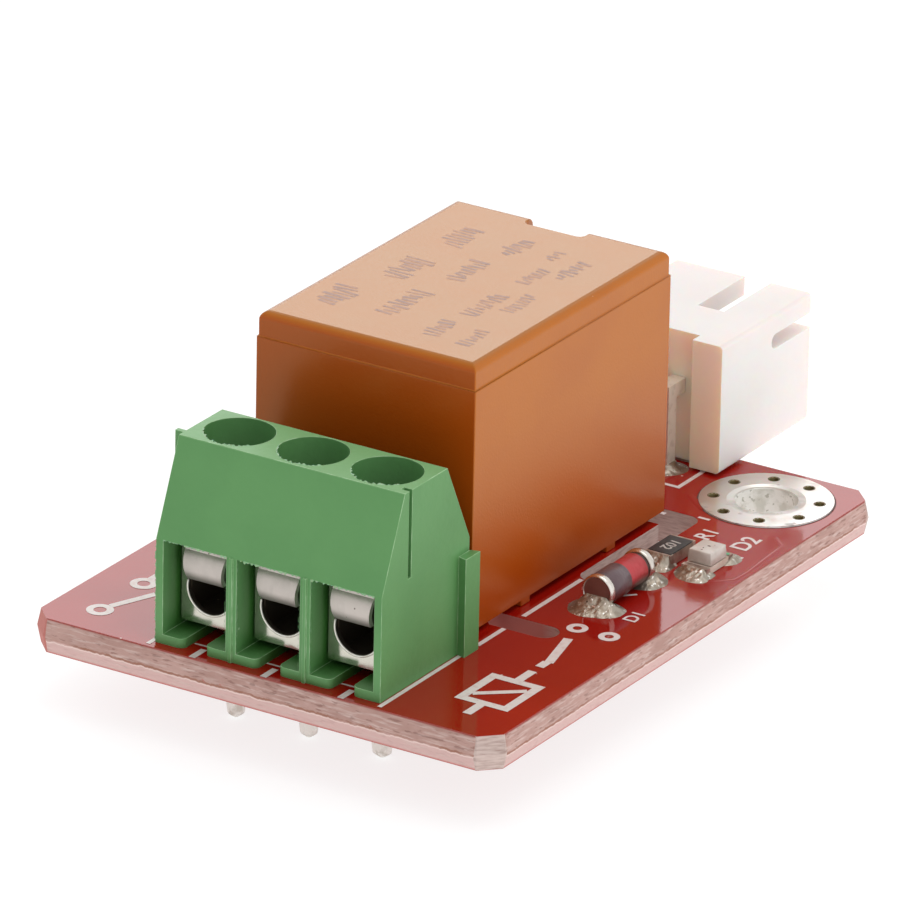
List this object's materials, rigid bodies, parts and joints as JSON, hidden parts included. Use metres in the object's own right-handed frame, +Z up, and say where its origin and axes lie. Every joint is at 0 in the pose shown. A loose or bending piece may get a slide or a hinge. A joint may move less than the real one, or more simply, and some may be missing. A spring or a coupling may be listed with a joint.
{
  "type": "relay module",
  "caption": "Small red circuit board with a sealed tan relay, green screw terminal for load wires, white shrouded pin header and chip parts beside an isolation slot.",
  "frame": {"origin": "centre of the circuit board's underside", "axes": "+X along the front edge to the viewer's right, +Y from the screw terminal to the pin header, +Z up out of the component side"},
  "size_m": [0.0222, 0.0353, 0.0155],
  "materials": {
    "board": "red solder mask over glass-fibre laminate, glossy",
    "tin": "bright tin plate with slight smudges",
    "relay_case": "tan-orange thermoplastic, satin",
    "relay_base": "tan thermoplastic, matt",
    "bobbin": "cream thermoplastic, matt",
    "copper": "enamelled copper winding",
    "iron": "nickel-plated soft iron",
    "contact_alloy": "copper alloy strip with silver contacts",
    "terminal_green": "green polyamide, satin with sharp edges",
    "nickel": "nickel-plated steel, mirror-like",
    "screw_steel": "zinc-plated steel",
    "header_white": "off-white polyamide, satin",
    "solder": "lead-free solder, bright",
    "diode_glass": "red tinted glass tube",
    "resistor_black": "black glaze on alumina",
    "led_base": "cream laminate base",
    "led_lens": "clear to cream epoxy",
    "transistor_black": "black moulding compound"
  },
  "bodies": {
    "module": {"circuit_board": "board", "mounting_pad_left": "tin", "mounting_pad_right": "tin", "relay_cover": "relay_case", "relay_base": "relay_base", "relay_bobbin": "bobbin", "relay_coil": "copper", "relay_core": "iron", "relay_yoke": "iron", "rest_contact": "contact_alloy", "work_contact": "contact_alloy", "relay_pins": "tin", "terminal_housing": "terminal_green", "contact_cage_1": "nickel", "contact_cage_2": "nickel", "contact_cage_3": "nickel", "header_housing": "header_white", "header_pin_1": "tin", "header_pin_2": "tin", "header_pin_3": "tin", "terminal_solder": "solder", "relay_solder": "solder", "header_solder": "solder", "chip_solder": "solder", "diode_glass": "diode_glass", "diode_caps": "tin", "resistor_body": "resistor_black", "resistor_caps": "tin", "led_body": "led_base", "led_caps": "tin", "led_lens": "led_lens", "base_resistor_body": "resistor_black", "base_resistor_caps": "tin", "transistor_body": "transistor_black", "transistor_leads": "tin"},
    "guard_1": {"wire_guard_1": "nickel"},
    "screw_1": {"terminal_screw_1": "screw_steel"},
    "guard_2": {"wire_guard_2": "nickel"},
    "screw_2": {"terminal_screw_2": "screw_steel"},
    "guard_3": {"wire_guard_3": "nickel"},
    "screw_3": {"terminal_screw_3": "screw_steel"},
    "armature": {"relay_armature": "iron", "contact_blade": "contact_alloy"}
  },
  "joints": [
    {"name": "guard_1_slide", "type": "slide", "parent": "module", "child": "guard_1", "axis": [0, 0, -1], "range_m": [0, 0.0012]},
    {"name": "screw_1_turn", "type": "hinge", "parent": "guard_1", "child": "screw_1", "pos_m": [-0.00345, -0.01132, 0.0085], "axis": [0, 0, -1], "range_deg": [0, 1080]},
    {"name": "guard_2_slide", "type": "slide", "parent": "module", "child": "guard_2", "axis": [0, 0, -1], "range_m": [0, 0.0012]},
    {"name": "screw_2_turn", "type": "hinge", "parent": "guard_2", "child": "screw_2", "pos_m": [0.00005, -0.01132, 0.0085], "axis": [0, 0, -1], "range_deg": [0, 1080]},
    {"name": "guard_3_slide", "type": "slide", "parent": "module", "child": "guard_3", "axis": [0, 0, -1], "range_m": [0, 0.0012]},
    {"name": "screw_3_turn", "type": "hinge", "parent": "guard_3", "child": "screw_3", "pos_m": [0.00355, -0.01132, 0.0085], "axis": [0, 0, -1], "range_deg": [0, 1080]},
    {"name": "armature_rock", "type": "hinge", "parent": "module", "child": "armature", "pos_m": [-0.0002, 0.00724, 0.00994], "axis": [1, 0, 0], "range_deg": [0, 3], "stiffness_Nm_per_rad": 0.005, "springref_deg": -2.86}
  ],
  "couplings": [
    {"joint": "screw_1_turn", "follows": "guard_1_slide", "rad_per_m": 15707},
    {"joint": "screw_2_turn", "follows": "guard_2_slide", "rad_per_m": 15707},
    {"joint": "screw_3_turn", "follows": "guard_3_slide", "rad_per_m": 15707}
  ]
}
